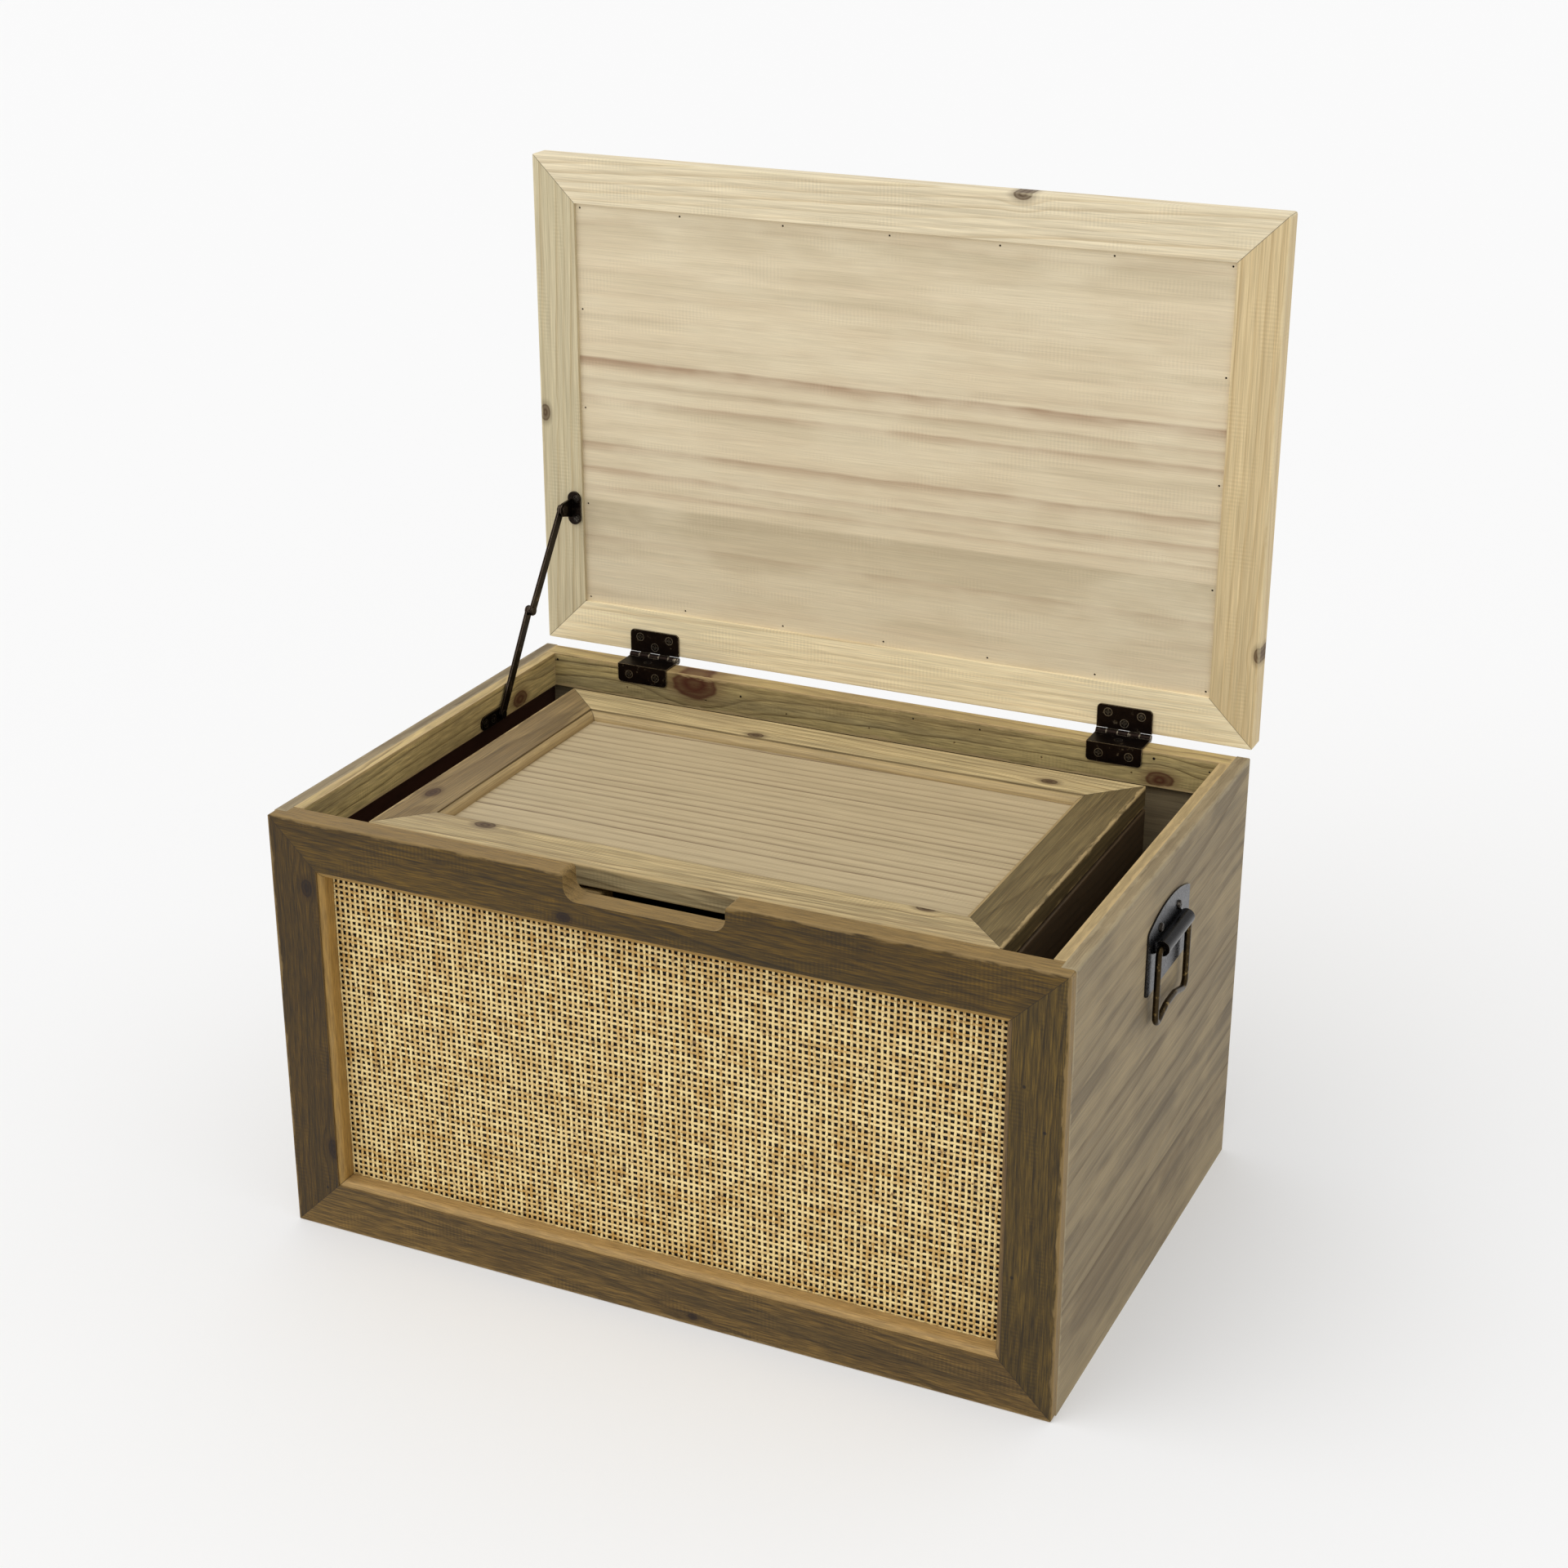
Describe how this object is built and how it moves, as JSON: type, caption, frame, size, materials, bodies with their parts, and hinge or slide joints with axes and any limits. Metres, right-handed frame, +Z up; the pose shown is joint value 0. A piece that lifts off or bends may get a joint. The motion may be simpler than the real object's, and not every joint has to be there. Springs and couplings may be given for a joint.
{
  "type": "wooden chest",
  "caption": "Wooden storage chest with a woven cane front, framed lid on butt hinges, folding lid stay, drop handles and a smaller matching chest nested inside.",
  "frame": {"origin": "on the floor below the middle of the open chest's bounding box", "axes": "+X to the right as seen from the cane front, +Y to the hinged back, +Z up"},
  "size_m": [0.5392, 0.362, 0.6349],
  "materials": {
    "front_rail_wood": "matte",
    "front_stile_wood": "matte",
    "side_wood": "matte",
    "rim_wood": "matte",
    "back_rail_wood": "matte",
    "back_wood": "matte",
    "floor_wood": "matte",
    "lining_wood": "matte",
    "backing_wood": "matte",
    "cane": "matte",
    "lid_rail_wood": "matte",
    "lid_stile_wood": "matte",
    "lid_panel_wood": "matte",
    "nested_rail_wood": "matte",
    "nested_stile_wood": "matte",
    "nested_panel_wood": "matte",
    "nested_front_rail_wood": "matte",
    "nested_front_stile_wood": "matte",
    "nested_side_wood": "matte",
    "hinge_metal": "satin",
    "plate_metal": "satin",
    "wire_metal": "satin",
    "stay_metal": "satin",
    "screw_metal": "satin",
    "nail_metal": "satin"
  },
  "bodies": {
    "carcass": {"back_board": "back_wood", "back_rail": "back_rail_wood", "bottom_cleats": "floor_wood", "bottom_panel": "floor_wood", "cane_backing": "backing_wood", "cane_panel": "cane", "front_bottom_rail": "front_rail_wood", "front_left_stile": "front_stile_wood", "front_right_stile": "front_stile_wood", "front_top_rail": "front_rail_wood", "handle_screws": "screw_metal", "hinge_lower_screws": "screw_metal", "hinge_pins": "hinge_metal", "left_cleat": "rim_wood", "left_handle_plate": "plate_metal", "left_hinge_lower_leaf": "hinge_metal", "left_side_board": "side_wood", "right_cleat": "rim_wood", "right_handle_plate": "plate_metal", "right_hinge_lower_leaf": "hinge_metal", "right_side_board": "side_wood", "side_linings": "lining_wood", "stay_wall_bracket": "stay_metal", "stay_wall_rivet": "stay_metal", "stay_wall_screws": "screw_metal"},
    "lid": {"lid_front_rail": "lid_rail_wood", "lid_back_rail": "lid_rail_wood", "lid_left_stile": "lid_stile_wood", "lid_right_stile": "lid_stile_wood", "lid_panel": "lid_panel_wood", "lid_panel_nails": "nail_metal", "left_hinge_upper_leaf": "hinge_metal", "right_hinge_upper_leaf": "hinge_metal", "hinge_upper_screws": "screw_metal", "stay_lid_bracket": "stay_metal", "stay_lid_rivet": "stay_metal", "stay_lid_screws": "screw_metal"},
    "lower_stay_link": {"stay_lower_link": "stay_metal", "stay_knee_rivet": "stay_metal"},
    "upper_stay_link": {"stay_upper_link": "stay_metal"},
    "left_bail": {"left_handle_bail": "wire_metal"},
    "right_bail": {"right_handle_bail": "wire_metal"},
    "nested_lid": {"nested_lid_front_rail": "nested_rail_wood", "nested_lid_back_rail": "nested_rail_wood", "nested_lid_left_stile": "nested_stile_wood", "nested_lid_right_stile": "nested_stile_wood", "nested_lid_panel": "nested_panel_wood", "nested_hinge_upper_leaves": "hinge_metal"},
    "nested_chest": {"nested_back_board": "nested_side_wood", "nested_bottom_panel": "floor_wood", "nested_cane_backing": "backing_wood", "nested_cane_panel": "cane", "nested_front_bottom_rail": "nested_front_rail_wood", "nested_front_left_stile": "nested_front_stile_wood", "nested_front_right_stile": "nested_front_stile_wood", "nested_front_top_rail": "nested_front_rail_wood", "nested_hinge_lower_leaves": "hinge_metal", "nested_hinge_pins": "hinge_metal", "nested_left_side_board": "nested_side_wood", "nested_right_side_board": "nested_side_wood"}
  },
  "joints": [
    {"name": "lid_hinge", "type": "hinge", "parent": "carcass", "child": "lid", "pos_m": [0, 0.16475, 0.2892], "axis": [-1, 0, 0], "range_deg": [-90, 0]},
    {"name": "stay_wall_pivot", "type": "hinge", "parent": "carcass", "child": "lower_stay_link", "pos_m": [-0.2417, 0.06805, 0.269], "axis": [-1, 0, 0], "range_deg": [-160.92, 0]},
    {"name": "stay_lid_pivot", "type": "hinge", "parent": "lid", "child": "upper_stay_link", "pos_m": [-0.2388, 0.15255, 0.3929], "axis": [-1, 0, 0], "range_deg": [0, 99.96]},
    {"name": "right_bail_swing", "type": "hinge", "parent": "carcass", "child": "right_bail", "pos_m": [0.2646, -0.00515, 0.2385], "axis": [0, -1, 0], "range_deg": [-2, 182]},
    {"name": "left_bail_swing", "type": "hinge", "parent": "carcass", "child": "left_bail", "pos_m": [-0.2646, -0.00515, 0.2385], "axis": [0, 1, 0], "range_deg": [-2, 182]},
    {"name": "nested_chest_lift", "type": "slide", "parent": "carcass", "child": "nested_chest", "axis": [0, 0, 1], "range_m": [0, 0.3]},
    {"name": "nested_lid_hinge", "type": "hinge", "parent": "nested_chest", "child": "nested_lid", "pos_m": [-0.006, 0.12525, 0.2588], "axis": [-1, 0, 0], "range_deg": [0, 95]}
  ],
  "couplings": [
    {"joint": "stay_wall_pivot", "follows": "lid_hinge", "ratio": 1.7769},
    {"joint": "stay_lid_pivot", "follows": "lid_hinge", "ratio": -1.0995}
  ]
}
